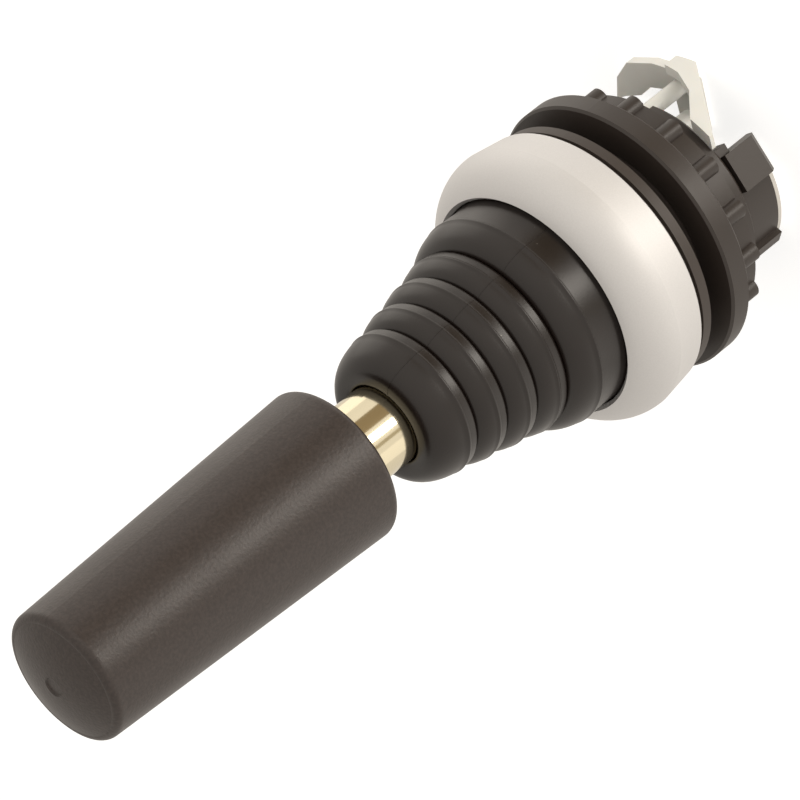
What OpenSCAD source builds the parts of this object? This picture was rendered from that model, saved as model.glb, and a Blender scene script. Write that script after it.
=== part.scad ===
// Panel-mount joystick for a 22 mm control hole, in millimetres.
// Origin: centre of the panel's front face. +Z points out of the panel, along the upright lever.
// Behind the panel a ring nut clamps the threaded stem, and four plungers press the contact blocks.

/* [Stem and panel] */
// Outside diameter of the stem's thread
stem_d = 22; // [22:0.5:28]
// Wall between the thread and the stem's bore
stem_wall = 2.6; // [2.4:0.1:3]
// Length of thread behind the panel's front face
stem_len = 10.5; // [10:0.5:16]
// Thickness of the rubber gasket between flange and panel
gasket_t = 1.1; // [0.8:0.1:2]
// How far the gasket reaches beyond the thread
gasket_over = 3; // [2:0.1:3.4]
// Thickness of the stem's flange in front of the gasket
flange_t = 2.1; // [1.5:0.1:3]
// Thickness of the panel space between gasket and ring nut
panel_gap = 2.4; // [1:0.1:5]

/* [Bezel] */
// How far the bezel reaches beyond the thread
bezel_over = 3.85; // [3.6:0.05:4.4]
// How much narrower the bezel's rear edge is than its widest part, on the radius
bezel_taper = 0.5; // [0.2:0.05:0.6]
// Height of the bezel's front lip above the panel
bezel_top = 9.7; // [9.2:0.1:11]
// Shadow gap between the bezel's rear edge and the gasket
bezel_lift = 0.55; // [0.2:0.05:0.9]
// Wall of the bezel at its rear edge
bezel_wall = 0.7; // [0.6:0.05:0.9]
// How far the bezel's inner lip lies outside the thread
lip_over = 0.67; // [0.5:0.05:0.9]

/* [Ring nut] */
// Thickness of the nut's flange
nut_flange_t = 2.5; // [1.5:0.1:3]
// How far the flange reaches beyond the thread
nut_flange_over = 3.7; // [3.4:0.1:4.5]
// Height of the nut's crown behind its flange
nut_crown_h = 3.1; // [2:0.1:3.5]
// Wall of the crown between its grip ribs
nut_crown_wall = 1.7; // [1:0.1:2]
// Number of grip ribs on the crown
nut_ribs = 16; // [8:1:20]
// Width of a grip rib
nut_rib_w = 2.1; // [1.4:0.1:2.6]
// How far a grip rib stands out of the crown
nut_rib_h = 0.8; // [0.6:0.1:1.2]

/* [Boot] */
// Number of bellows lobes
boot_lobes = 4; // [3:1:5]
// Distance from one lobe to the next
boot_pitch = 3.4; // [3.2:0.1:4]
// Radius of the lobe next to the grip
boot_top_r = 7.85; // [7:0.05:9]
// How much each lobe is wider than the one above it, on the radius
boot_step_r = 0.71; // [0.5:0.01:0.9]
// Height of the band round a lobe, under its round shoulder
boot_band_h = 1.3; // [1:0.1:1.5]
// Gap between a lobe and the one above it
boot_gap = 0.2; // [0.1:0.05:0.5]
// Height of the domed lobe next to the grip
boot_cap_h = 5.2; // [5:0.1:6]
// Depth of the folds between the lobes
boot_fold = 1.7; // [1:0.1:2.2]
// Wall of the rubber
boot_wall = 0.9; // [0.7:0.1:1.2]

/* [Lever] */
// Height of the tilting axes above the panel
pivot_z = 4.6; // [4.4:0.1:5]
// Largest tilt of the lever each way, in degrees
tilt = 15; // [5:1:15]
// Diameter of the polished shaft
shaft_d = 8.4; // [8:0.1:9]
// Height of the grip's lower rim above the panel
grip_z = 37; // [34:0.5:50]
// Length of the grip, without its crowned end
grip_len = 36; // [25:0.5:60]
// Diameter of the grip at its lower rim
grip_d = 16.3; // [14:0.1:20]
// Diameter of the grip at its far end
grip_end_d = 13.9; // [12:0.1:18]
// Height of the grip's crowned end face
grip_crown = 1.2; // [0.8:0.1:2]

/* [Tilting joint] */
// Wall of the gimbal ring
gimbal_wall = 1.6; // [1.4:0.1:1.8]
// Height of the gimbal ring
gimbal_h = 3; // [2.6:0.1:3.2]
// Diameter of the pivot pins
pin_d = 1.6; // [1.2:0.1:1.8]
// Diameter of the shaft's neck in the hub
neck_d = 5; // [4:0.1:5.2]
// Thickness of the rocker disc
disc_t = 1.5; // [1.2:0.1:2]

/* [Plungers] */
// Diameter of a plunger's rod
rod_d = 2.4; // [2:0.1:2.4]
// How far a plunger moves each way at full tilt
stroke = 1.6; // [0.5:0.1:1.6]
// Free travel between the rocker disc and a plunger
free_play = 0.7; // [0.7:0.1:1]
// Distance of the plungers' rear ends from the panel
plunger_end = 16.2; // [15.8:0.1:22]
// Thickness of the right plunger's plate
plate_t = 1.1; // [0.9:0.1:1.4]

/* [Rear towers] */
// Length of the guard towers behind the stem
tower_len = 4.4; // [4.2:0.1:6]
// Angle that a tower covers
tower_angle = 72; // [60:1:80]
// Width of the locking lug
lug_w = 4.1; // [3:0.1:5]

/* [Hidden] */
$fn = 96;

// Clearances: pieces that never move on each other, running pins, and pieces that pass freely.
seat = 0.02;
running = 0.03;
free = 0.3;
// Small edge radius of moulded pieces.
edge_r = 0.3;

stem_r = stem_d / 2;
bore_r = stem_r - stem_wall;
shaft_r = shaft_d / 2;
neck_r = neck_d / 2;
pin_r = pin_d / 2;
rod_r = rod_d / 2;

// Front stack, from the panel outwards.
flange_z = gasket_t;
flange_top = flange_z + flange_t;
bezel_r = stem_r + bezel_over;
bezel_rear_r = bezel_r - bezel_taper;
flange_r = bezel_rear_r - bezel_wall - seat;
lip_r = stem_r + lip_over;
lip_t = 1.8;
foot_top = bezel_top - lip_t;
foot_t = 1.5;
foot_z = foot_top - foot_t;
foot_r = flange_r - 0.4;
skirt_r = lip_r - 0.1;
barrel_r = skirt_r - boot_wall - 0.3;
gate_t = 1;
gimbal_top = pivot_z + gimbal_h / 2;

// Height where the skirt ends and the lobes start, and a lobe's radius counted from the skirt up.
boot_base_z = bezel_top + 5.9;
function boot_lobe_r(i) = boot_top_r + boot_step_r * (boot_lobes - 1 - i);

// Tilting joint. The ring's upper corner sets the height of the gate plate above it.
gimbal_r = bore_r - 0.5;
gimbal_in = gimbal_r - gimbal_wall;
hub_r = gimbal_in - 0.7;
hub_top = gimbal_top;
hub_low = pivot_z - gimbal_h / 2;
washer_t = 0.4;
shoulder_z = hub_top + washer_t;
gate_z = pivot_z + gimbal_h / 2 * cos(tilt) + gimbal_r * sin(tilt) + free;
disc_r = bore_r - 1.9;
disc_top = hub_low - gimbal_r * sin(tilt) - 0.25;
disc_low = disc_top - disc_t;
clip_t = 0.5;
tail_r = neck_r - 0.4;
tail_end = disc_low - clip_t - 0.5;

// Plungers and their guide.
rod_place = bore_r - 2.6;
head_z = disc_low - free_play;
collar_r = rod_r + 0.6;
collar_t = 0.8;
collar_z = head_z - rod_r - collar_t - 0.1;
guide_t = 2;
guide_top = collar_z - 3.5 - stroke / 2;
guide_low = guide_top - guide_t;
guide_r = bore_r + 0.3;
boss_r = 2.2;
spring_wire = 0.3;
return_wire = 0.4;
return_r = rod_place - collar_r - return_wire / 2 - 0.1;
clip_r = return_r - return_wire / 2 - 0.3;

// Rear of the stem.
tower_z = -stem_len - tower_len;
tower_out = stem_r - 0.7;
panel_wall = tower_out - 0.6;
cover_t = 0.9;
lug_turn = 28;
rib_turn = -29;
lug_out = stem_r - 0.05;
lug_h = 4.6;
lug_end = tower_z - 0.5;
cover_z = tower_z - 0.45;
leg_in = stem_r + 0.3;
leg_r = leg_in + 1.1;
peg_r = 0.85;
peg_place = stem_r - 1;

// A tube standing on the axis between two heights.
module tube(outer, inner, low, high) {
    translate([0, 0, low]) difference() {
        cylinder(r = outer, h = high - low);
        translate([0, 0, -1]) cylinder(r = inner, h = high - low + 2);
    }
}

// A round bar on the axis between two heights.
module bar(r, low, high) {
    translate([0, 0, low]) cylinder(r = r, h = high - low);
}

// A flat profile in the radius-height plane, turned about the axis.
module turned(points) {
    rotate_extrude() polygon(points);
}

// Two equal pins on the pivot axis, one on each side, turned to the X or Y direction.
module pin_pair(inner, outer, r, turn) {
    translate([0, 0, pivot_z]) rotate([0, 0, turn])
        for (side = [0, 180])
            rotate([0, 0, side]) translate([inner, 0, 0]) rotate([0, 90, 0])
                cylinder(r = r, h = outer - inner);
}

// A wedge that keeps one sector of what it is cut with, centred on the X direction.
module sector(angle, reach, low, high) {
    far = reach / cos(angle / 2);
    translate([0, 0, low]) linear_extrude(high - low)
        polygon([[0, 0], [far * cos(angle / 2), -far * sin(angle / 2)],
            [far * cos(angle / 2), far * sin(angle / 2)]]);
}

// A coil spring standing on the axis: level rings joined by a rising stretch on each turn.
module coil(r, wire, low, high, turns) {
    steps = 12;
    rise = (high - low - 2 * wire) / turns;
    ring_points = 8;
    count = turns * steps;
    points = [for (i = [0:count]) for (k = [0:ring_points - 1])
        let (a = 360 * i / steps, b = 360 * k / ring_points,
            radius = r + wire / 2 * cos(b), z = low + wire + rise * i / steps + wire / 2 * sin(b))
        [radius * cos(a), radius * sin(a), z]];
    sides = [for (i = [0:count - 1]) for (k = [0:ring_points - 1])
        let (n = (k + 1) % ring_points)
        [i * ring_points + k, i * ring_points + n, (i + 1) * ring_points + n,
            (i + 1) * ring_points + k]];
    first = [for (k = [ring_points - 1:-1:0]) k];
    last = [for (k = [0:ring_points - 1]) count * ring_points + k];
    polyhedron(points, concat([first], sides, [last]));
}

/* Lever */

module grip() {
    rim = 0.8;
    bottom = grip_z;
    top = grip_z + grip_len;
    r0 = grip_d / 2;
    r1 = grip_end_d / 2;
    socket_r = shaft_r + seat;
    socket_top = bottom + 4;
    insert_r = 4.4;
    dome = (pow(r1 - rim, 2) + pow(grip_crown, 2)) / (2 * grip_crown);
    color("#2b2826") difference() {
        union() {
            rotate_extrude() union() {
                polygon([[0, bottom], [r0 - rim, bottom], [r0, bottom + rim], [r1, top - rim],
                    [r1 - rim, top], [0, top]]);
                translate([r0 - rim, bottom + rim]) circle(r = rim);
                translate([r1 - rim, top - rim]) circle(r = rim);
            }
            intersection() {
                translate([0, 0, top + grip_crown - dome]) sphere(r = dome);
                bar(r1 - rim / 2, top - rim, top + grip_crown);
            }
        }
        bar(socket_r, bottom - 1, socket_top);
        bar(insert_r, socket_top - 0.01, socket_top + 18);
        translate([0, 0, top + grip_crown]) cylinder(r1 = 0.9, r2 = 1.3, h = 0.4, center = true);
    }
}

module grip_insert() {
    low = grip_z + 4;
    knurls = 20;
    color("#c9a94f") difference() {
        union() {
            bar(4.1, low, low + 18);
            for (z = [low + 1, low + 11]) bar(4.38, z, z + 6);
        }
        bar(3 + seat, low - 1, low + 15);
        for (i = [0:knurls - 1])
            rotate([0, 0, 360 * i / knurls]) translate([4.4, 0, low])
                rotate([0, 0, 45]) cube([0.35, 0.35, 40], center = true);
    }
}

module shaft() {
    spigot_top = grip_z + 4 + 14;
    groove_r = neck_r - 0.5;
    color("#d8cfb8") turned([[0, tail_end], [tail_r - 0.2, tail_end], [tail_r, tail_end + 0.2],
        [tail_r, disc_low - clip_t - seat], [groove_r, disc_low - clip_t - seat],
        [groove_r, disc_low + seat], [neck_r, disc_low + seat], [neck_r, shoulder_z],
        [shaft_r - 0.4, shoulder_z],
        [shaft_r, shoulder_z + 0.4], [shaft_r, grip_z + 3.6], [shaft_r - 0.4, grip_z + 4],
        [3, grip_z + 4], [3, spigot_top - 0.5], [2.5, spigot_top], [0, spigot_top]]);
}

module hub_washer() {
    color("#b8bcc0") tube(shaft_r - 0.2, neck_r + seat, hub_top, shoulder_z);
}

module lever_hub() {
    chamfer = 0.3;
    color("#c0a050") difference() {
        turned([[neck_r + seat, hub_low], [hub_r - chamfer, hub_low], [hub_r, hub_low + chamfer],
            [hub_r, hub_top - chamfer], [hub_r - chamfer, hub_top], [neck_r + seat, hub_top]]);
        pin_pair(neck_r + 0.5, hub_r + 1, pin_r + running, 90);
    }
}

module rocker_disc() {
    sleeve_r = neck_r + 1.1;
    color("#e8e4d8") turned([[neck_r + seat, disc_low], [disc_r - edge_r, disc_low],
        [disc_r, disc_low + edge_r], [disc_r, disc_top - edge_r], [disc_r - edge_r, disc_top],
        [sleeve_r, disc_top], [sleeve_r, hub_low], [neck_r + seat, hub_low]]);
}

module disc_clip() {
    opening = neck_d * 0.75;
    color("#8a8d90") difference() {
        tube(clip_r, neck_r - 0.5 + seat, disc_low - clip_t, disc_low);
        translate([0, -opening / 2, disc_low - clip_t - 1]) cube([clip_r * 2, opening, clip_t + 2]);
    }
}

/* Gimbal */

module gimbal_ring() {
    color("#9a9da0") difference() {
        tube(gimbal_r, gimbal_in, pivot_z - gimbal_h / 2, gimbal_top);
        pin_pair(gimbal_in - 1, gimbal_r + 1, pin_r + running, 0);
        pin_pair(gimbal_in - 1, gimbal_r + 1, pin_r + seat / 2, 90);
    }
}

module hub_pins() {
    color("#b0b4b8") pin_pair(neck_r + 0.7, gimbal_r - 0.15, pin_r, 90);
}

module gimbal_pins() {
    color("#b0b4b8") pin_pair(gimbal_in + 0.1, barrel_r - 0.1, pin_r, 0);
}

/* Front of the panel */

// One bellows lobe in profile: an undercut edge, a band that widens to a crease, a round shoulder.
module lobe_profile(r, z, h, shoulder) {
    polygon([[0, z], [r - 0.5, z], [r - 0.15, z + 0.25], [r, z + boot_band_h], [r, z + h - shoulder],
        [r - shoulder, z + h], [0, z + h]]);
    translate([r - shoulder, z + h - shoulder]) circle(r = shoulder);
}

module boot() {
    cap_z = boot_base_z + (boot_lobes - 1) * boot_pitch;
    top = cap_z + boot_cap_h;
    lobe_round = 1.4;
    cap_round = 2.4;
    skirt_round = 1.9;
    round_z = boot_base_z - skirt_round;
    inside_r = skirt_r - boot_wall;
    neck_in = shaft_r + 1.05;
    color("#232120") difference() {
        rotate_extrude() union() {
            for (i = [0:boot_lobes - 2])
                lobe_profile(boot_lobe_r(i), boot_base_z + i * boot_pitch + boot_gap,
                    boot_pitch - boot_gap, lobe_round);
            lobe_profile(boot_top_r, cap_z + boot_gap, boot_cap_h - boot_gap, cap_round);
            polygon([[0, foot_z], [foot_r, foot_z], [foot_r, foot_top], [skirt_r, foot_top],
                [skirt_r, bezel_top - 0.5], [skirt_r - 0.15, bezel_top], [skirt_r, round_z - 0.9],
                [skirt_r, round_z], [skirt_r - skirt_round, boot_base_z],
                [boot_lobe_r(0) - boot_fold, boot_base_z], [boot_top_r - boot_fold, cap_z + 1],
                [0, cap_z + 1]]);
            translate([skirt_r - skirt_round, round_z]) circle(r = skirt_round);
        }
        turned([[0, foot_z - 1], [inside_r, foot_z - 1], [inside_r, bezel_top - 0.5],
            [inside_r - 0.15, bezel_top], [inside_r - 0.15, round_z], [inside_r - 0.4, round_z + 0.6],
            [skirt_r - skirt_round, boot_base_z - boot_wall],
            [boot_lobe_r(0) - boot_fold - boot_wall, boot_base_z - boot_wall],
            [neck_in, cap_z + 0.5], [neck_in, top - 1.8], [shaft_r + 0.15, top - 0.9],
            [shaft_r + 0.15, top + 1], [0, top + 1]]);
    }
}

module boot_ring() {
    color("#1f1f20") tube(foot_r, barrel_r + 0.05, flange_top, foot_z);
}

module bezel() {
    rear = flange_z + bezel_lift;
    wide_z = rear + 3.7;
    lip_round = 0.35;
    inner_r = flange_r + seat;
    // The dome is one arc, upright at the widest part, that ends at the lip's small rounding.
    across = bezel_r - lip_r - lip_round;
    rise = bezel_top - wide_z;
    dome = (across * across + rise * rise) / (2 * across);
    color("#b9b6b2") rotate_extrude() union() {
        polygon([[inner_r, rear], [bezel_rear_r - 0.15, rear], [bezel_rear_r, rear + 0.15],
            [bezel_r, wide_z], [foot_r, wide_z], [inner_r, wide_z]]);
        intersection() {
            translate([bezel_r - dome, wide_z]) circle(r = dome);
            polygon([[inner_r, wide_z - 0.01], [bezel_r, wide_z - 0.01], [bezel_r, bezel_top],
                [lip_r + lip_round, bezel_top], [lip_r, bezel_top - lip_round],
                [lip_r, foot_top + seat], [foot_r, foot_top + seat], [inner_r, foot_top - 1]]);
        }
    }
}

module gate_plate() {
    half = shaft_r + 1.9;
    corner = 2.5;
    color("#2c2c2e") translate([0, 0, gate_z]) linear_extrude(gate_t) difference() {
        circle(r = barrel_r);
        square([2 * half, 2 * (half - corner)], center = true);
        square([2 * (half - corner), 2 * half], center = true);
        for (x = [-1, 1]) for (y = [-1, 1])
            translate([x * (half - corner), y * (half - corner)]) circle(r = corner);
    }
}

module panel_gasket() {
    color("#3a3836") tube(stem_r + gasket_over, stem_r + 0.1, 0, gasket_t);
}

/* Stem */

module stem() {
    chamfer = 0.5;
    color("#262423") difference() {
        union() {
            difference() {
                turned([[bore_r, guide_top], [bore_r, gate_z], [barrel_r, gate_z],
                    [barrel_r, flange_top], [flange_r, flange_top], [flange_r, flange_z],
                    [stem_r, flange_z], [stem_r, -stem_len + chamfer], [stem_r - chamfer, -stem_len],
                    [panel_wall, -stem_len], [panel_wall, tower_z], [guide_r, tower_z],
                    [guide_r, guide_top]]);
                for (side = [0, 180]) rotate([0, 0, side])
                    sector(180 - tower_angle, stem_r, tower_z - 1, -stem_len);
            }
            for (side = [-90, 90]) rotate([0, 0, side]) {
                rotate([0, 0, lug_turn]) lug(0);
                rotate([0, 0, rib_turn]) tower_rib();
            }
        }
        pin_pair(bore_r - 1, barrel_r + 1, pin_r + seat / 2, 0);
        peg_slot();
    }
}

// The open slot in the stem's rear end that the right plunger's guide peg runs in.
module peg_slot() {
    slot_r = peg_r + 0.1;
    slot_h = stroke + 1.4;
    translate([peg_place, 0, 0]) bar(slot_r, -stem_len - 1, -stem_len + slot_h);
    translate([peg_place, -slot_r, -stem_len - 1]) cube([stem_r, 2 * slot_r, slot_h + 1]);
}

// The upright rib at a guard tower's other end.
module tower_rib() {
    width = 1.4;
    translate([guide_r + 0.3, -width / 2, tower_z])
        cube([tower_out - guide_r - 0.3, width, tower_len + 0.3]);
}

// The square locking lug, grown by a clearance where another piece is cut around it.
module lug(gap) {
    reach = sqrt(lug_out * lug_out - lug_w * lug_w / 4);
    inner = guide_r + 0.3;
    chamfer = 0.8;
    shoulder = 0.9;
    translate([0, lug_w / 2 + gap, lug_end - gap]) rotate([90, 0, 0]) linear_extrude(lug_w + 2 * gap)
        polygon([[inner - gap, 0], [reach - chamfer, 0], [reach + gap, chamfer + gap],
            [reach + gap, lug_h + 2 * gap], [inner - gap, lug_h + 2 * gap]]);
    translate([inner - gap, lug_w / 2, lug_end + lug_h - 1])
        cube([tower_out - inner + 2 * gap, shoulder + gap, -stem_len + 0.3 - lug_end - lug_h + 1]);
}

module ring_nut() {
    front = -panel_gap;
    flange_low = front - nut_flange_t;
    crown_low = flange_low - nut_crown_h;
    crown_r = stem_r + nut_crown_wall;
    nut_r = stem_r + nut_flange_over;
    chamfer = 0.25;
    first_rib = -5;
    color("#2a2827") difference() {
        union() {
            turned([[stem_r - 1, front], [nut_r - chamfer, front], [nut_r, front - chamfer],
                [nut_r, flange_low + chamfer], [nut_r - chamfer, flange_low], [crown_r, flange_low],
                [crown_r, crown_low], [stem_r - 1, crown_low]]);
            for (i = [0:nut_ribs - 1]) rotate([0, 0, first_rib + 360 * i / nut_ribs])
                translate([crown_r + nut_rib_h - nut_rib_w / 2, 0, 0]) {
                    bar(nut_rib_w / 2, crown_low + 0.1, flange_low + 0.1);
                    translate([-nut_rib_w / 2, -nut_rib_w / 2, crown_low + 0.1])
                        cube([nut_rib_w / 2, nut_rib_w, nut_crown_h]);
                }
        }
        bar(stem_r + running, crown_low - 1, front + 1);
    }
}

/* Plungers */

module plunger_guide() {
    color("#303032") difference() {
        union() {
            bar(guide_r - seat, guide_low, guide_top);
            bar(boss_r, cover_z + cover_t, guide_low + 0.1);
            tube(return_r - return_wire / 2 - 0.1, return_r - return_wire / 2 - 0.9, guide_top - 0.1,
                guide_top + 0.8);
        }
        for (a = [0:90:270]) rotate([0, 0, a]) translate([rod_place, 0, 0])
            bar(rod_r + running, guide_low - 1, guide_top + 1);
        bar(0.8, cover_z, guide_low + 0.6);
    }
}

// The part that all plungers share: a rod with a domed head and a collar for its spring.
module plunger_rod(low) {
    translate([rod_place, 0, 0]) {
        bar(rod_r, low, head_z - rod_r);
        translate([0, 0, head_z - rod_r]) sphere(r = rod_r);
        bar(collar_r, collar_z, collar_z + collar_t);
    }
}

// A point in the cross-section, given by its distance from the axis and its direction.
function at(r, angle) = [r * cos(angle), r * sin(angle)];

// The right plunger: the rod, a plate across the stem's open side, a slanting leg outside the stem
// and a guide peg that runs in the stem's end face.
module plunger_right() {
    low = -plunger_end;
    color("#efebe0") union() {
        plunger_rod(low + 0.2);
        translate([0, 0, low]) linear_extrude(plate_t) plate_outline();
        plunger_leg(low, -stem_len + 0.6);
        translate([peg_place, 0, 0]) bar(peg_r, low + plate_t - 0.1, -stem_len + 1.3);
    }
}

// Outline of the plate: a strip from the rod to the leg, and a hook that reaches round the stem.
module plate_outline() {
    near = rod_place - rod_r;
    edge = stem_r - 1.6;
    polygon([at(near, -18), at(leg_in - 0.7, -9), at(leg_in + 0.1, -2), at(leg_in + 0.7, 18),
        at(leg_r + 0.4, 35), at(leg_r, 48), at(leg_in + 0.1, 61), at(stem_r - 0.4, 54), at(edge, 42),
        at(edge + 0.2, 30), at(edge - 0.3, 17), at(edge - 1, 10), at(near, 18)]);
}

// The leg outside the stem: cut from a tube, seen along the X direction.
module plunger_leg(low, high) {
    h = high - low;
    foot = 8;
    intersection() {
        tube(leg_r, leg_in, low, high);
        translate([0, 0, low]) rotate([90, 0, 90]) linear_extrude(leg_r + 1)
            polygon([[1.2, 0], [-1.4, 0], [-foot, h - 0.5], [-foot, h], [-foot + 2.1, h],
                [-foot + 4.4, h - 2.7], [-foot + 7, h - 4.1], [1.2, h - 4.6]]);
    }
}

module plunger_left() {
    color("#efebe0") rotate([0, 0, 180]) plunger_rod(-plunger_end + 0.1);
}

module plunger_up() {
    color("#efebe0") rotate([0, 0, 90]) plunger_rod(-plunger_end + 0.1);
}

module plunger_down() {
    color("#efebe0") rotate([0, 0, -90]) plunger_rod(-plunger_end + 0.1);
}

module plunger_spring() {
    translate([rod_place, 0, 0])
        coil(rod_r + 0.1 + spring_wire / 2, spring_wire, guide_top, collar_z, 4);
}

module spring_right() {
    color("#a8acb0") plunger_spring();
}

module spring_left() {
    color("#a8acb0") rotate([0, 0, 180]) plunger_spring();
}

module spring_up() {
    color("#a8acb0") rotate([0, 0, 90]) plunger_spring();
}

module spring_down() {
    color("#a8acb0") rotate([0, 0, -90]) plunger_spring();
}

module return_spring() {
    color("#a8acb0") coil(return_r, return_wire, guide_top + 0.3, disc_low, 6);
}

module spring_washer() {
    color("#b8bcc0") tube(return_r + return_wire / 2, return_r - return_wire / 2, guide_top,
        guide_top + 0.3);
}

/* Rear cover */

module rear_cover() {
    hub = boss_r + 1.2;
    color("#b4b4b0") difference() {
        union() {
            bar(hub, cover_z, cover_z + cover_t);
            for (side = [-90, 90]) rotate([0, 0, side]) intersection() {
                bar(guide_r - seat, cover_z, cover_z + cover_t);
                sector(tower_angle, stem_r, cover_z - 1, cover_z + cover_t + 1);
            }
            for (side = [-90, 90]) rotate([0, 0, side]) intersection() {
                bar(panel_wall, cover_z, tower_z);
                sector(tower_angle, stem_r, cover_z - 1, tower_z + 1);
            }
        }
        for (side = [-90, 90]) rotate([0, 0, side]) {
            translate([rod_place, 0, 0]) bar(rod_r + 0.2, cover_z - 1, cover_z + 2);
            rotate([0, 0, lug_turn]) lug(0.05);
        }
        bar(1.1, cover_z - 1, cover_z + 2);
    }
}

module cover_screw() {
    head_t = 1;
    slot = 0.5;
    color("#9fa3a6") difference() {
        union() {
            bar(0.78, cover_z, guide_low);
            bar(2, cover_z - head_t, cover_z);
        }
        translate([-3, -slot / 2, cover_z - head_t - 1]) cube([6, slot, 1.5]);
    }
}

grip();
grip_insert();
shaft();
hub_washer();
lever_hub();
rocker_disc();
disc_clip();
gimbal_ring();
hub_pins();
gimbal_pins();
boot();
boot_ring();
bezel();
gate_plate();
panel_gasket();
stem();
ring_nut();
plunger_guide();
return_spring();
spring_washer();
plunger_right();
plunger_left();
plunger_up();
plunger_down();
spring_right();
spring_left();
spring_up();
spring_down();
rear_cover();
cover_screw();
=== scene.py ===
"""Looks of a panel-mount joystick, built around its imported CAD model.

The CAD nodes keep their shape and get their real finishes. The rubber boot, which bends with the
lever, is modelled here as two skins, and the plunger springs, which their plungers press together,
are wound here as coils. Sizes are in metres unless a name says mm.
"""

import math

import bpy
from bpy.props import FloatProperty, FloatVectorProperty, IntProperty, PointerProperty
from mathutils import Matrix, Vector


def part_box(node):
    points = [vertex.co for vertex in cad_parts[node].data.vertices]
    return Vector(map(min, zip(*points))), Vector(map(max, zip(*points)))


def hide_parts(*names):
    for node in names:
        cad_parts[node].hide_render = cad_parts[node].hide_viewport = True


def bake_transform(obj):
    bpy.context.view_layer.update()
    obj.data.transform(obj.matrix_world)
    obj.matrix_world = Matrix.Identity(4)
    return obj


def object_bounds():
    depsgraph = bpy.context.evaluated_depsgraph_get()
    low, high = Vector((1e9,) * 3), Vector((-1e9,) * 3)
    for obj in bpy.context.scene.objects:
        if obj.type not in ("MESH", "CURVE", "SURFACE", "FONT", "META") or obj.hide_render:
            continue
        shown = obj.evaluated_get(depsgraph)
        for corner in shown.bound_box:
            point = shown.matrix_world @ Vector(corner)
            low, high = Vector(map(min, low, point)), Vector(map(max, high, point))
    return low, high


bl_info = {
    "name": "Panel Joystick",
    "version": (1, 0, 0),
    "blender": (4, 5, 0),
    "location": "View3D > Sidebar > Joystick",
    "description": "Finishes a panel-mount joystick and stages it",
    "category": "Object",
}

MM = 0.001

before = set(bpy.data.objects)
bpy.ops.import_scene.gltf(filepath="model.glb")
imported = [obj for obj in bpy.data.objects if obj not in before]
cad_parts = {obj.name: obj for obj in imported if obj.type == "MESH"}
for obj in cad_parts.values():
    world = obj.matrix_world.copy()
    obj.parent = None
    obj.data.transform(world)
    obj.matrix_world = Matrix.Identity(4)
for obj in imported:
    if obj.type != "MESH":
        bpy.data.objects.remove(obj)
CAD_LOW, CAD_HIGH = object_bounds()
BEZEL_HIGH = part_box("bezel")[1]
SHAFT_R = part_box("shaft")[1].x


# ---------------------------------------------------------------- colours and nodes


def linear(code):
    """An sRGB hex colour, such as 0x2B2826, as three linear values."""
    channels = [(code >> shift & 255) / 255 for shift in (16, 8, 0)]
    return tuple(c / 12.92 if c <= 0.04045 else ((c + 0.055) / 1.055) ** 2.4 for c in channels)


def rgba(colour):
    return (*colour, 1.0)


def add_node(tree, kind, settings=None, inputs=None):
    """Add a node with its own settings. An input is a value, or the socket it is linked to."""
    node = tree.nodes.new(kind)
    for name, value in (settings or {}).items():
        setattr(node, name, value)
    for socket, value in (inputs or {}).items():
        if isinstance(value, bpy.types.NodeSocket):
            tree.links.new(value, node.inputs[socket])
        else:
            node.inputs[socket].default_value = value
    return node


def start_material(name):
    """A new material as (material, its tree, its shader, the object coordinates)."""
    material = bpy.data.materials.new(name)
    material.use_nodes = True
    tree = material.node_tree
    shader = tree.nodes["Principled BSDF"]
    place = add_node(tree, "ShaderNodeTexCoord").outputs["Object"]
    return material, tree, shader, place


def finish_node(node_name, material):
    """Give a CAD node its real finish."""
    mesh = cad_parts[node_name].data
    mesh.materials.clear()
    mesh.materials.append(material)


# ---------------------------------------------------------------- settings


def colour(name, description, code):
    return FloatVectorProperty(
        name=name, description=description, subtype="COLOR", size=3, min=0, max=1, default=linear(code)
    )


def length(name, description, millimetres):
    return FloatProperty(
        name=name, description=description, subtype="DISTANCE", unit="LENGTH", min=0, precision=5,
        default=millimetres * MM,
    )


class JoystickSizes(bpy.types.PropertyGroup):
    skirt_radius: length("Skirt radius", "Radius of the boot's skirt", 11.55)
    skirt_crease: length("Skirt crease", "Height of the crease under the skirt's shoulder", 12.8)
    skirt_top: length("Skirt top", "Height of the skirt above the panel", 15.6)
    lobe_pitch: length("Lobe pitch", "Distance from one lobe to the next", 3.4)
    band_height: length("Band height", "Height of the band round a lobe, under its shoulder", 1.35)
    first_lobe: length("Lowest lobe", "Radius of the lobe next to the skirt", 9.98)
    lobe_step: length("Lobe step", "How much each lobe is narrower than the one below it", 0.71)
    fold_depth: length("Fold depth", "Depth of the folds between the lobes", 0.78)
    lobes: IntProperty(name="Lobes", description="Number of bellows lobes", default=4, min=2, max=8)
    cap_top: length("Cap top", "Height of the domed lobe next to the grip, above the panel", 30.7)
    rubber_wall: length("Rubber wall", "Thickness of the boot's rubber", 0.85)
    plunger_wire: length("Plunger spring wire", "Thickness of the plunger springs' wire", 0.3)
    plunger_turns: IntProperty(
        name="Plunger spring turns", description="Turns of a plunger spring", default=4, min=2)
    seam_height: length("Seam height", "How far the boot's mould seam stands out", 0.03)


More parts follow.
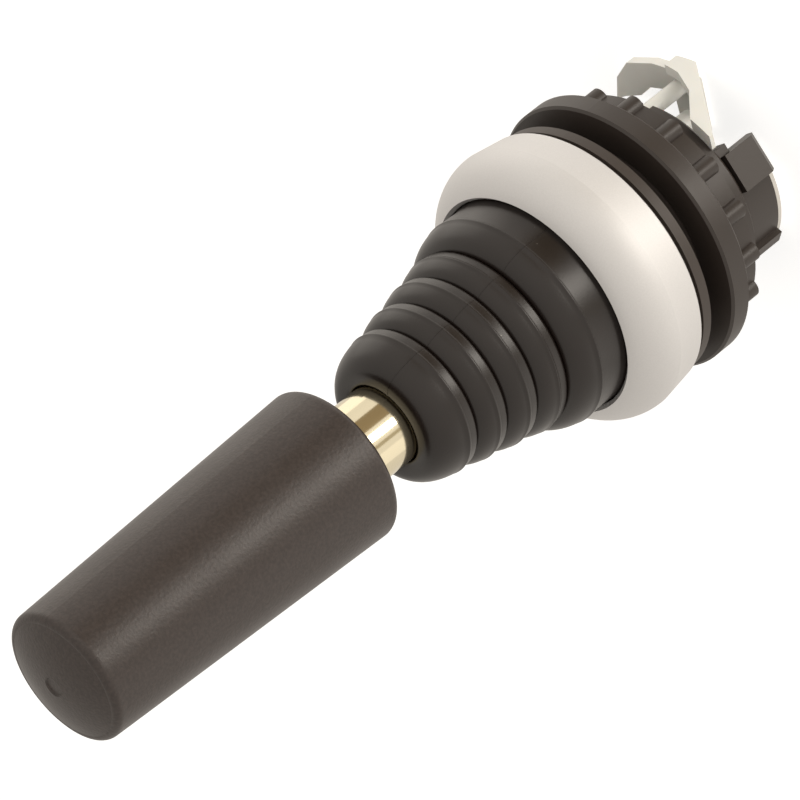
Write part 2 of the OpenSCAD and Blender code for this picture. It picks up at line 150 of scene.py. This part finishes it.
class JoystickColours(bpy.types.PropertyGroup):
    grip: colour("Grip", "Colour of the grip's moulded plastic", 0x362E2B)
    rubber: colour("Boot", "Colour of the boot's rubber", 0x1A1310)
    bezel: colour("Bezel", "Colour of the bezel's satin coating", 0xDBDADA)
    shaft: colour("Shaft", "Colour of the shaft's nickel plating", 0xE6DCC0)
    black_plastic: colour("Black plastic", "Colour of stem, ring nut and gate plate", 0x322B27)
    ivory: colour("Ivory plastic", "Colour of the plungers and the rocker disc", 0xDDDEDA)
    grey_plastic: colour("Grey plastic", "Colour of the rear cover", 0xC9C6C0)
    guide: colour("Guide plastic", "Colour of the plunger guide", 0x3A3A3C)
    gasket: colour("Gasket", "Colour of the gasket and the boot's clamping ring", 0x3A322D)
    dust: colour("Dust", "Colour of the dust on the boot", 0x9A948C)
    brass: colour("Brass", "Colour of the hub and the grip's insert", 0xD8B25C)
    zinc: colour("Zinc plating", "Colour of washers, clip, ring and screw", 0xC3C6C9)
    steel: colour("Steel", "Colour of the springs and pins", 0xA9ABAD)


# ---------------------------------------------------------------- finishes


def grip_plastic(name, base, roughness=0.37):
    """Moulded plastic from a spark-eroded tool: a fine even grain that scatters every highlight."""
    material, tree, shader, place = start_material(name)
    grain = add_node(tree, "ShaderNodeTexNoise", inputs={
        "Vector": place, "Scale": 1 / (0.32 * MM), "Detail": 3.0})
    cloud = add_node(tree, "ShaderNodeTexNoise", inputs={
        "Vector": place, "Scale": 1 / (5 * MM), "Detail": 2.0})
    tone = add_node(tree, "ShaderNodeValToRGB", inputs={"Fac": grain.outputs["Fac"]})
    tone.color_ramp.elements[0].position = 0.35
    tone.color_ramp.elements[1].position = 0.7
    tone.color_ramp.elements[0].color = rgba([0.82 * c for c in base])
    tone.color_ramp.elements[1].color = rgba([1.25 * c for c in base])
    tree.links.new(tone.outputs["Color"], shader.inputs["Base Color"])
    gloss = add_node(tree, "ShaderNodeMapRange", inputs={
        "Value": cloud.outputs["Fac"], "To Min": roughness - 0.05, "To Max": roughness + 0.07})
    tree.links.new(gloss.outputs["Result"], shader.inputs["Roughness"])
    bump = add_node(tree, "ShaderNodeBump", inputs={
        "Height": grain.outputs["Fac"], "Strength": 0.55, "Distance": 0.05 * MM})
    tree.links.new(bump.outputs["Normal"], shader.inputs["Normal"])
    shader.inputs["IOR"].default_value = 1.5
    return material


def boot_rubber(name, base, dust_colour):
    """Moulded EPDM rubber: satin black, faintly cloudy, with dust caught on it."""
    material, tree, shader, place = start_material(name)
    cloud = add_node(tree, "ShaderNodeTexNoise", inputs={
        "Vector": place, "Scale": 1 / (4 * MM), "Detail": 4.0})
    tone = add_node(tree, "ShaderNodeMix", {"data_type": "RGBA"}, {
        "Factor": cloud.outputs["Fac"],
        6: rgba([0.8 * c for c in base]), 7: rgba([1.25 * c for c in base])})
    specks = add_node(tree, "ShaderNodeTexVoronoi", inputs={"Vector": place, "Scale": 1 / (1.7 * MM)})
    sizes = add_node(tree, "ShaderNodeTexNoise", inputs={"Vector": place, "Scale": 1 / (6 * MM)})
    reach = add_node(tree, "ShaderNodeMapRange", inputs={
        "Value": sizes.outputs["Fac"], "From Min": 0.52, "From Max": 0.75, "To Min": 0.0, "To Max": 0.1})
    dust = add_node(tree, "ShaderNodeMath", {"operation": "LESS_THAN"}, {
        0: specks.outputs["Distance"], 1: reach.outputs["Result"]})
    dust_part = add_node(tree, "ShaderNodeMath", {"operation": "MULTIPLY"}, {
        0: dust.outputs["Value"], 1: 0.5})
    dusty = add_node(tree, "ShaderNodeMix", {"data_type": "RGBA"}, {
        "Factor": dust_part.outputs["Value"], 6: tone.outputs[2], 7: rgba(dust_colour)})
    tree.links.new(dusty.outputs[2], shader.inputs["Base Color"])
    gloss = add_node(tree, "ShaderNodeMapRange", inputs={
        "Value": cloud.outputs["Fac"], "To Min": 0.25, "To Max": 0.36})
    tree.links.new(gloss.outputs["Result"], shader.inputs["Roughness"])
    grain = add_node(tree, "ShaderNodeTexNoise", inputs={
        "Vector": place, "Scale": 1 / (0.25 * MM), "Detail": 2.0})
    bump = add_node(tree, "ShaderNodeBump", inputs={
        "Height": grain.outputs["Fac"], "Strength": 0.15, "Distance": 0.03 * MM})
    tree.links.new(bump.outputs["Normal"], shader.inputs["Normal"])
    shader.inputs["IOR"].default_value = 1.52
    return material


def satin_coating(name, base):
    """Titanium-look satin coating on a turned ring: fine flakes blur the reflections."""
    material, tree, shader, place = start_material(name)
    flakes = add_node(tree, "ShaderNodeTexNoise", inputs={
        "Vector": place, "Scale": 1 / (0.15 * MM), "Detail": 2.0})
    cloud = add_node(tree, "ShaderNodeTexNoise", inputs={
        "Vector": place, "Scale": 1 / (7 * MM), "Detail": 1.0})
    tone = add_node(tree, "ShaderNodeMix", {"data_type": "RGBA"}, {
        "Factor": flakes.outputs["Fac"],
        6: rgba([0.94 * c for c in base]), 7: rgba([min(1, 1.04 * c) for c in base])})
    tree.links.new(tone.outputs[2], shader.inputs["Base Color"])
    gloss = add_node(tree, "ShaderNodeMapRange", inputs={
        "Value": cloud.outputs["Fac"], "To Min": 0.56, "To Max": 0.62})
    tree.links.new(gloss.outputs["Result"], shader.inputs["Roughness"])
    bump = add_node(tree, "ShaderNodeBump", inputs={
        "Height": flakes.outputs["Fac"], "Strength": 0.12, "Distance": 0.01 * MM})
    tree.links.new(bump.outputs["Normal"], shader.inputs["Normal"])
    shader.inputs["Metallic"].default_value = 0.7
    return material


TOOL_LINE_SPREAD = 40  # noise cells per metre across a piece, so few that its lines run right round


def polished_metal(name, base, roughness, line_mm):
    """Smooth metal, plated, turned, drawn or ground: shiny, with faint lines left by the tool."""
    material, tree, shader, place = start_material(name)
    along = add_node(tree, "ShaderNodeMapping", inputs={
        "Vector": place, "Scale": (TOOL_LINE_SPREAD, TOOL_LINE_SPREAD, 1 / (line_mm * MM))})
    rings = add_node(tree, "ShaderNodeTexNoise", inputs={
        "Vector": along.outputs["Vector"], "Scale": 1.0, "Detail": 2.0})
    gloss = add_node(tree, "ShaderNodeMapRange", inputs={
        "Value": rings.outputs["Fac"], "To Min": roughness * 0.7, "To Max": roughness * 1.3})
    tree.links.new(gloss.outputs["Result"], shader.inputs["Roughness"])
    bump = add_node(tree, "ShaderNodeBump", inputs={
        "Height": rings.outputs["Fac"], "Strength": 0.08, "Distance": 0.01 * MM})
    tree.links.new(bump.outputs["Normal"], shader.inputs["Normal"])
    shader.inputs["Base Color"].default_value = rgba(base)
    shader.inputs["Metallic"].default_value = 1.0
    return material


def moulded_plastic(name, base, roughness, glow=0.0):
    """Moulded plastic or rubber: smooth skin with a faint ripple and a slight change of tone."""
    material, tree, shader, place = start_material(name)
    ripple = add_node(tree, "ShaderNodeTexNoise", inputs={
        "Vector": place, "Scale": 1 / (0.4 * MM), "Detail": 3.0})
    cloud = add_node(tree, "ShaderNodeTexNoise", inputs={
        "Vector": place, "Scale": 1 / (6 * MM), "Detail": 2.0})
    tone = add_node(tree, "ShaderNodeMix", {"data_type": "RGBA"}, {
        "Factor": cloud.outputs["Fac"],
        6: rgba([0.88 * c for c in base]), 7: rgba([min(1, 1.12 * c) for c in base])})
    tree.links.new(tone.outputs[2], shader.inputs["Base Color"])
    gloss = add_node(tree, "ShaderNodeMapRange", inputs={
        "Value": cloud.outputs["Fac"], "To Min": roughness - 0.06, "To Max": roughness + 0.06})
    tree.links.new(gloss.outputs["Result"], shader.inputs["Roughness"])
    bump = add_node(tree, "ShaderNodeBump", inputs={
        "Height": ripple.outputs["Fac"], "Strength": 0.2, "Distance": 0.03 * MM})
    tree.links.new(bump.outputs["Normal"], shader.inputs["Normal"])
    shader.inputs["IOR"].default_value = 1.5
    if glow:
        shader.inputs["Subsurface Weight"].default_value = glow
        shader.inputs["Subsurface Radius"].default_value = (1.2 * MM, 0.9 * MM, 0.6 * MM)
        shader.inputs["Subsurface Scale"].default_value = 1.0
    return material


# ---------------------------------------------------------------- boot

MERGE_DISTANCE = 1e-6
SEAM_ANGLES = (-25, 155)  # degrees round the lever's axis, where the mould's halves met
SEAM_WIDTH = 0.1 * MM
SEAM_DEPTH = 0.3 * MM  # thickness of the flash line, most of it sunk in the rubber
SHOULDER_START = math.radians(15)  # how far a shoulder already leans in at its crease
SKIRT_SHOULDER = 1.95 * MM
LOBE_SHOULDER = 1.5 * MM
CAP_SHOULDER = 2.3 * MM
SKIRT_TAPER = 0.13 * MM
SKIRT_DEPTH = 1.4 * MM  # how far the skirt reaches down inside the bezel


def draw_line(name, points, angle=0.0):
    """A new mesh piece: one vertex, extruded from point to point of a (radius, height) outline."""
    across = Vector((math.cos(angle), math.sin(angle), 0))
    bpy.ops.object.select_all(action="DESELECT")
    bpy.ops.mesh.primitive_plane_add(size=MM, location=(0, 0, 0))
    piece = bpy.context.object
    piece.name = name
    bpy.ops.object.mode_set(mode="EDIT")
    bpy.ops.mesh.select_mode(type="VERT")
    bpy.ops.mesh.select_all(action="SELECT")
    bpy.ops.mesh.merge(type="CENTER")
    r, z = points[0]
    bpy.ops.transform.translate(value=across * r + Vector((0, 0, z)))
    for here, there in zip(points, points[1:]):
        step = across * (there[0] - here[0]) + Vector((0, 0, there[1] - here[1]))
        bpy.ops.mesh.extrude_vertices_move(TRANSFORM_OT_translate={"value": step})
    bpy.ops.mesh.select_all(action="SELECT")
    bpy.ops.mesh.remove_doubles(threshold=MERGE_DISTANCE)
    bpy.ops.mesh.select_all(action="SELECT")
    return piece


def spin_profile(name, points, steps=120):
    """A ring-shaped piece: a closed profile spun round the axis."""
    piece = draw_line(name, points + points[:1])
    bpy.ops.mesh.spin(steps=steps, angle=math.tau, center=(0, 0, 0), axis=(0, 0, 1))
    bpy.ops.mesh.select_all(action="SELECT")
    bpy.ops.mesh.remove_doubles(threshold=MERGE_DISTANCE)
    bpy.ops.mesh.normals_make_consistent(inside=False)
    bpy.ops.object.mode_set(mode="OBJECT")
    return piece


def mould_seam(points, angle, height):
    """A raised flash line over an outline, where the two halves of the mould met."""
    raised = []
    for before, here, after in zip(points[:1] + points, points, points[1:] + points[-1:]):
        along = Vector((after[0] - before[0], after[1] - before[1])).normalized()
        lift = height - SEAM_DEPTH / 2
        raised.append((here[0] + along.y * lift, here[1] - along.x * lift))
    piece = draw_line("seam", raised, angle)
    side = Vector((-math.sin(angle), math.cos(angle), 0)) * SEAM_WIDTH
    bpy.ops.mesh.extrude_region_move(TRANSFORM_OT_translate={"value": side})
    bpy.ops.mesh.select_all(action="SELECT")
    bpy.ops.transform.translate(value=side / -2)
    bpy.ops.object.mode_set(mode="OBJECT")
    thick = piece.modifiers.new("thickness", "SOLIDIFY")
    thick.thickness, thick.offset = SEAM_DEPTH, 0
    bpy.ops.object.modifier_apply(modifier=thick.name)
    return piece


def round_shoulder(r, low, high, inset, steps=10):
    """Points of a shoulder that leaves its crease at a slight angle and ends level, further in."""
    tall = (high - low) / (1 - math.sin(SHOULDER_START))
    wide = inset / math.cos(SHOULDER_START)
    points = []
    for i in range(steps + 1):
        a = SHOULDER_START + (math.pi / 2 - SHOULDER_START) * i / steps
        points.append((r - inset + wide * math.cos(a), high - tall + tall * math.sin(a)))
    return points


def crease_and_shoulder(r, crease, high, inset):
    """A fine bead at the upper edge of a band, then the shoulder above it."""
    bead = [(r - 0.07 * MM, crease - 0.3 * MM), (r - 0.065 * MM, crease - 0.22 * MM)]
    bead += [(r - 0.02 * MM, crease - 0.14 * MM), (r, crease - 0.06 * MM)]
    bead.append((r - 0.02 * MM, crease + 0.02 * MM))
    return bead + round_shoulder(r - 0.08 * MM, crease + 0.1 * MM, high, inset - 0.08 * MM)


class JOYSTICK_OT_boot(bpy.types.Operator):
    """Model the rubber boot as a lower and an upper skin"""

    bl_idname = "joystick.boot"
    bl_label = "Boot"

    def execute(self, context):
        sizes = context.scene.joystick_sizes
        colours = context.scene.joystick_colours
        rubber = boot_rubber("moulded_epdm_rubber", colours.rubber, colours.dust)
        wall = sizes.rubber_wall
        lip = BEZEL_HIGH.z
        low_end = lip - SKIRT_DEPTH
        top = sizes.skirt_top
        folds = [sizes.first_lobe - sizes.lobe_step * i - sizes.fold_depth for i in range(sizes.lobes)]
        r = sizes.skirt_radius
        lower = [(r, low_end), (r, lip - 0.4 * MM), (r - SKIRT_TAPER, lip + 0.1 * MM)]
        lower += crease_and_shoulder(r, sizes.skirt_crease, top, SKIRT_SHOULDER)
        lower.append((folds[0], top))
        inner = [(folds[0] - wall, top), (folds[0] - wall, top - wall)]
        inner += [(r - 2.2 * MM, top - wall - 0.1 * MM), (r - wall - 0.35 * MM, top - 1.5 * MM)]
        inner += [(r - wall - SKIRT_TAPER, lip), (r - wall, low_end)]
        skins = [(spin_profile("boot_lower", lower + inner), lower)]

        upper, inner = [(folds[0], top)], []
        for i in range(sizes.lobes):
            r = sizes.first_lobe - sizes.lobe_step * i
            low = top + sizes.lobe_pitch * i
            upper += [(r - 0.45 * MM, low + 0.04 * MM), (r - 0.24 * MM, low + 0.13 * MM)]
            upper += [(r - 0.13 * MM, low + 0.3 * MM), (r - 0.11 * MM, low + 0.42 * MM)]
            inner.append((folds[i] - wall, low))
            last = i == sizes.lobes - 1
            high = sizes.cap_top if last else top + sizes.lobe_pitch * (i + 1)
            shoulder = CAP_SHOULDER if last else LOBE_SHOULDER
            upper += crease_and_shoulder(r, low + sizes.band_height, high, shoulder)
            if not last:
                upper.append((folds[i + 1], high))
        upper += [(SHAFT_R + 0.5 * MM, high - 0.02 * MM), (SHAFT_R + 0.22 * MM, high - 0.1 * MM)]
        upper += [(SHAFT_R + 0.08 * MM, high - 0.3 * MM)]
        inner += [(SHAFT_R + 1.05 * MM, high - 2 * MM), (SHAFT_R + 0.08 * MM, high - 1.2 * MM)]
        skins.append((spin_profile("boot_upper", upper + inner[::-1]), upper[:-1]))

        for skin, outline in skins:
            seams = [mould_seam(outline, math.radians(angle), sizes.seam_height) for angle in SEAM_ANGLES]
            bpy.ops.object.select_all(action="DESELECT")
            for piece in (*seams, skin):
                piece.select_set(True)
            context.view_layer.objects.active = skin
            bpy.ops.object.join()
            skin.data.materials.append(rubber)
            bpy.ops.object.shade_smooth_by_angle(angle=math.radians(40))
        (low_skin, _), (high_skin, _) = skins
        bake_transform(low_skin)
        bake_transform(high_skin)
        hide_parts("boot")
        return {"FINISHED"}


# ---------------------------------------------------------------- springs

WIRE_SIDES = 10  # facets round the wire of a coil
TURN_STEPS = 24  # steps in one turn of a coil


def wind_coil(name, node, wire, turns):
    """A coil spring in the place of a CAD spring."""
    low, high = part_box(node)
    middle = (low + high) / 2
    height = high.z - low.z - wire
    bpy.ops.object.select_all(action="DESELECT")
    bpy.ops.mesh.primitive_circle_add(vertices=WIRE_SIDES, radius=wire / 2, rotation=(math.pi / 2, 0, 0))
    piece = bpy.context.object
    piece.name = name
    bpy.ops.object.transform_apply(location=False, rotation=True, scale=False)
    bpy.ops.object.mode_set(mode="EDIT")
    bpy.ops.mesh.select_all(action="SELECT")
    bpy.ops.transform.translate(value=(high.x - middle.x - wire / 2, 0, 0))
    bpy.ops.object.mode_set(mode="OBJECT")
    screw = piece.modifiers.new("turns", "SCREW")
    screw.iterations = turns
    screw.screw_offset = height / turns
    screw.steps = screw.render_steps = TURN_STEPS
    bpy.ops.object.modifier_apply(modifier=screw.name)
    piece.location = (middle.x, middle.y, low.z + wire / 2)
    bpy.ops.object.transform_apply(location=True, rotation=False, scale=False)
    bpy.ops.object.mode_set(mode="EDIT")
    bpy.ops.mesh.select_all(action="SELECT")
    bpy.ops.mesh.fill_holes(sides=0)
    bpy.ops.mesh.select_all(action="SELECT")
    bpy.ops.mesh.normals_make_consistent(inside=False)
    bpy.ops.object.mode_set(mode="OBJECT")
    bpy.ops.object.shade_smooth_by_angle(angle=math.radians(50))
    return piece


class JOYSTICK_OT_springs(bpy.types.Operator):
    """Model the plunger springs as coils in the place of the CAD springs"""

    bl_idname = "joystick.springs"
    bl_label = "Springs"

    def execute(self, context):
        sizes = context.scene.joystick_sizes
        steel = polished_metal("drawn_spring_steel", context.scene.joystick_colours.steel, 0.28, 0.1)
        for side in ("right", "left", "up", "down"):
            node = "spring_" + side
            coil = wind_coil("coil_" + side, node, sizes.plunger_wire, sizes.plunger_turns)
            coil.data.materials.append(steel)
            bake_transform(coil)
            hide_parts(node)
        return {"FINISHED"}


# ---------------------------------------------------------------- finishes of the CAD nodes


class JOYSTICK_OT_lever_finish(bpy.types.Operator):
    """Finish the grip and the shaft"""

    bl_idname = "joystick.lever_finish"
    bl_label = "Grip and shaft"

    def execute(self, context):
        colours = context.scene.joystick_colours
        finish_node("grip", grip_plastic("spark_eroded_polyamide", colours.grip))
        finish_node("shaft", polished_metal("polished_nickel_plating", colours.shaft, 0.12, 0.3))
        return {"FINISHED"}


class JOYSTICK_OT_bezel_finish(bpy.types.Operator):
    """Finish the bezel, the gasket under it and the boot's clamping ring"""

    bl_idname = "joystick.bezel_finish"
    bl_label = "Bezel"

    def execute(self, context):
        colours = context.scene.joystick_colours
        finish_node("bezel", satin_coating("satin_titanium_coating", colours.bezel))
        gasket = moulded_plastic("nitrile_gasket_rubber", colours.gasket, 0.5)
        for name in ("panel_gasket", "boot_ring"):
            finish_node(name, gasket)
        return {"FINISHED"}


class JOYSTICK_OT_rear_finish(bpy.types.Operator):
    """Finish the plastic pieces behind the bezel and under the boot"""

    bl_idname = "joystick.rear_finish"
    bl_label = "Rear"

    def execute(self, context):
        colours = context.scene.joystick_colours
        # Glass-filled polyamide: a dull black skin that the fibres leave slightly uneven
        black = moulded_plastic("glass_filled_polyamide", colours.black_plastic, 0.42)
        for name in ("stem", "ring_nut", "gate_plate"):
            finish_node(name, black)
        # Acetal: a waxy skin that light enters a little way
        ivory = moulded_plastic("ivory_acetal", colours.ivory, 0.35, glow=0.1)
        for side in ("right", "left", "up", "down"):
            finish_node("plunger_" + side, ivory)
        finish_node("rocker_disc", ivory)
        grey = moulded_plastic("light_grey_abs", colours.grey_plastic, 0.4)
        finish_node("rear_cover", grey)
        finish_node("plunger_guide", moulded_plastic("dark_grey_polyamide", colours.guide, 0.45))
        return {"FINISHED"}


class JOYSTICK_OT_metal_finish(bpy.types.Operator):
    """Finish the small metal pieces inside"""

    bl_idname = "joystick.metal_finish"
    bl_label = "Inner metal"

    def execute(self, context):
        colours = context.scene.joystick_colours
        brass = polished_metal("turned_brass", colours.brass, 0.25, 0.2)
        for name in ("grip_insert", "lever_hub"):
            finish_node(name, brass)
        steel = polished_metal("zinc_plated_steel", colours.zinc, 0.3, 0.2)
        for name in ("hub_washer", "disc_clip", "gimbal_ring", "spring_washer", "cover_screw"):
            finish_node(name, steel)
        ground = polished_metal("ground_steel", colours.steel, 0.28, 0.1)
        for name in ("return_spring", "hub_pins", "gimbal_pins"):
            finish_node(name, ground)
        return {"FINISHED"}


# ---------------------------------------------------------------- stage

BRIGHT_SIDE = (60, -40)  # azimuth and elevation of the studio's bright side, degrees
# Lamps: name, azimuth, elevation, distance, width, height, brightness
LAMPS = (
    ("key_box", 31, -34, 0.6, 0.18, 0.42, 4.5),
    ("rear_box", 60, -55, 0.6, 0.9, 0.22, 0.35),
    ("top_box", 150, -20, 0.7, 0.5, 0.6, 0.5),
    ("side_box", -35, -30, 0.7, 0.4, 0.5, 0.25),
)
# Cards: name, azimuth, width, colour
CARDS = (("flag_left", 72, 0.34, 0xA8977A), ("flag_right", 5, 0.08, 0xD0C8B4))
CARD_ELEVATION, CARD_DISTANCE, CARD_HEIGHT = -30, 0.55, 0.4
FLOOR_PAPER = 0xC8C8C8
FLOOR_GLOW = 0.72  # added to the lit paper, so that the floor stays white
FLOOR_SIZE = 12
FLOOR_GAP = 0.4 * MM  # between the floor and the lowest piece


class JoystickStage(bpy.types.PropertyGroup):
    azimuth: FloatProperty(
        name="Camera azimuth", description="Camera's turn round the lever's axis", subtype="ANGLE",
        default=math.radians(40))
    elevation: FloatProperty(
        name="Camera elevation", description="Camera's angle above the panel's plane", subtype="ANGLE",
        default=math.radians(30))
    roll: FloatProperty(
        name="Camera roll", description="Camera's turn about its own view line", subtype="ANGLE",
        default=math.radians(-128.5))
    distance: length("Camera distance", "Distance from the camera to the point it aims at", 600)
    lens: FloatProperty(name="Lens", description="Focal length in millimetres", default=282.15)
    aim: FloatVectorProperty(
        name="Aim", description="Point at the middle of the picture", subtype="TRANSLATION",
        default=(-6.98 * MM, 9.62 * MM, 20.65 * MM))
    warm: colour("Lamp tint", "Warm tint of the studio's light", 0xFFF8EE)
    low_light: FloatProperty(
        name="Dim side", description="Brightness of the studio on its dim side", default=0.66, min=0)
    high_light: FloatProperty(
        name="Bright side", description="Brightness of the studio on its bright side", default=1.05, min=0)


def toward(azimuth, elevation):
    """Unit vector from the object towards a camera or lamp, angles in degrees."""
    a, e = math.radians(azimuth), math.radians(elevation)
    return Vector((math.sin(a) * math.cos(e), -math.cos(a) * math.cos(e), math.sin(e)))


def add_softbox(name, azimuth, elevation, distance, width, height, radiance, tint):
    """A rectangular lamp that faces the object; its power is worked out from its brightness."""
    data = bpy.data.lights.new(name, "AREA")
    data.shape = "RECTANGLE"
    data.size, data.size_y = width, height
    data.energy = radiance * math.pi * width * height
    data.color = tint
    lamp = bpy.data.objects.new(name, data)
    bpy.context.scene.collection.objects.link(lamp)
    middle = (CAD_LOW + CAD_HIGH) / 2
    back = toward(azimuth, elevation)
    lamp.location = middle + back * distance
    lamp.rotation_euler = (-back).to_track_quat("-Z", "Y").to_euler()
    lamp.visible_camera = False


def add_flag(name, azimuth, elevation, distance, width, height, material):
    """A card that shows only as a darker band in shiny surfaces."""
    bpy.ops.object.select_all(action="DESELECT")
    bpy.ops.mesh.primitive_plane_add(size=1)
    card = bpy.context.object
    card.name = name
    back = toward(azimuth, elevation)
    card.scale = (width, height, 1)
    card.location = (CAD_LOW + CAD_HIGH) / 2 + back * distance
    card.rotation_euler = (-back).to_track_quat("-Z", "Y").to_euler()
    card.data.materials.append(material)
    card.visible_camera = False
    card.visible_diffuse = False
    card.visible_shadow = False


class JOYSTICK_OT_stage(bpy.types.Operator):
    """Add the floor, the studio light and the camera"""

    bl_idname = "joystick.stage"
    bl_label = "Stage"

    def execute(self, context):
        scene = context.scene
        setup = scene.joystick_stage
        # Floor: pale paper, lit partly by its own glow so that it stays white and keeps the shadow
        material = bpy.data.materials.new("white_paper_floor")
        material.use_nodes = True
        tree = material.node_tree
        tree.nodes.remove(tree.nodes["Principled BSDF"])
        paper = add_node(tree, "ShaderNodeBsdfDiffuse", inputs={"Color": rgba(linear(FLOOR_PAPER))})
        glow = add_node(tree, "ShaderNodeEmission", inputs={
            "Color": rgba(linear(0xFFFFFF)), "Strength": FLOOR_GLOW})
        both = add_node(tree, "ShaderNodeAddShader", inputs={0: paper.outputs[0], 1: glow.outputs[0]})
        tree.links.new(both.outputs[0], tree.nodes["Material Output"].inputs["Surface"])
        bpy.ops.object.select_all(action="DESELECT")
        bpy.ops.mesh.primitive_plane_add(size=FLOOR_SIZE, location=(0, 0, CAD_LOW.z - FLOOR_GAP))
        floor = context.object
        floor.name = "floor"
        floor.data.materials.append(material)
        for ray in ("visible_diffuse", "visible_glossy", "visible_transmission", "visible_shadow"):
            setattr(floor, ray, False)
        # World: the camera sees it white; as a light it is warm, and dimmer on one side
        world = bpy.data.worlds.new("white_studio")
        scene.world = world
        world.use_nodes = True
        tree = world.node_tree
        path = add_node(tree, "ShaderNodeLightPath")
        shown = add_node(tree, "ShaderNodeMath", {"operation": "MAXIMUM"}, {
            0: path.outputs["Is Camera Ray"], 1: path.outputs["Is Transmission Ray"]})
        direction = add_node(tree, "ShaderNodeTexCoord").outputs["Generated"]
        across = add_node(tree, "ShaderNodeVectorMath", {"operation": "DOT_PRODUCT"}, {
            0: direction, 1: toward(*BRIGHT_SIDE)}).outputs["Value"]
        dimmer = add_node(tree, "ShaderNodeMapRange", inputs={
            "Value": across, "From Min": -1.0, "From Max": 1.0,
            "To Min": setup.low_light, "To Max": setup.high_light})
        seen = add_node(tree, "ShaderNodeMix", {"data_type": "FLOAT"}, {
            0: shown.outputs[0], 2: dimmer.outputs["Result"], 3: 1.0})
        tint = add_node(tree, "ShaderNodeMix", {"data_type": "RGBA"}, {
            0: shown.outputs[0], 6: rgba(setup.warm), 7: (1, 1, 1, 1)})
        sky = tree.nodes["Background"]
        tree.links.new(tint.outputs[2], sky.inputs["Color"])
        tree.links.new(seen.outputs[0], sky.inputs["Strength"])
        # Lamps
        for lamp in LAMPS:
            add_softbox(*lamp, setup.warm)
        # Cards, seen only as darker bands in shiny surfaces
        for name, azimuth, width, tone in CARDS:
            card = bpy.data.materials.new(name + "_card")
            card.use_nodes = True
            card.node_tree.nodes["Principled BSDF"].inputs["Base Color"].default_value = rgba(linear(tone))
            add_flag(name, azimuth, CARD_ELEVATION, CARD_DISTANCE, width, CARD_HEIGHT, card)
        # Camera
        lens = bpy.data.cameras.new("camera")
        camera = bpy.data.objects.new("camera", lens)
        scene.collection.objects.link(camera)
        lens.lens = setup.lens
        lens.sensor_width = 36
        lens.clip_start, lens.clip_end = 0.01, 50
        back = toward(math.degrees(setup.azimuth), math.degrees(setup.elevation))
        turn = (-back).to_track_quat("-Z", "Y").to_matrix().to_4x4() @ Matrix.Rotation(setup.roll, 4, "Z")
        camera.matrix_world = Matrix.Translation(Vector(setup.aim) + back * setup.distance) @ turn
        scene.camera = camera
        scene.view_settings.view_transform = "Standard"
        return {"FINISHED"}


class JOYSTICK_PT_panel(bpy.types.Panel):
    bl_idname = "JOYSTICK_PT_panel"
    bl_label = "Joystick"
    bl_space_type = "VIEW_3D"
    bl_region_type = "UI"
    bl_category = "Joystick"

    def draw(self, context):
        scene = context.scene
        for group in (scene.joystick_sizes, scene.joystick_colours, scene.joystick_stage):
            box = self.layout.box()
            for name in group.__annotations__:
                box.prop(group, name)
        for operator in OPERATORS:
            self.layout.operator(operator.bl_idname)


OPERATORS = (
    JOYSTICK_OT_lever_finish, JOYSTICK_OT_boot, JOYSTICK_OT_bezel_finish, JOYSTICK_OT_rear_finish,
    JOYSTICK_OT_springs, JOYSTICK_OT_metal_finish, JOYSTICK_OT_stage,
)
CLASSES = (JoystickSizes, JoystickColours, JoystickStage, *OPERATORS, JOYSTICK_PT_panel)


def register():
    for cls in CLASSES:
        bpy.utils.register_class(cls)
    bpy.types.Scene.joystick_sizes = PointerProperty(type=JoystickSizes)
    bpy.types.Scene.joystick_colours = PointerProperty(type=JoystickColours)
    bpy.types.Scene.joystick_stage = PointerProperty(type=JoystickStage)


def unregister():
    del bpy.types.Scene.joystick_stage
    del bpy.types.Scene.joystick_colours
    del bpy.types.Scene.joystick_sizes
    for cls in reversed(CLASSES):
        bpy.utils.unregister_class(cls)


def main():
    register()
    bpy.ops.joystick.lever_finish()
    bpy.ops.joystick.boot()
    bpy.ops.joystick.bezel_finish()
    bpy.ops.joystick.rear_finish()
    bpy.ops.joystick.springs()
    bpy.ops.joystick.metal_finish()
    bpy.ops.joystick.stage()


if __name__ == "__main__":
    main()
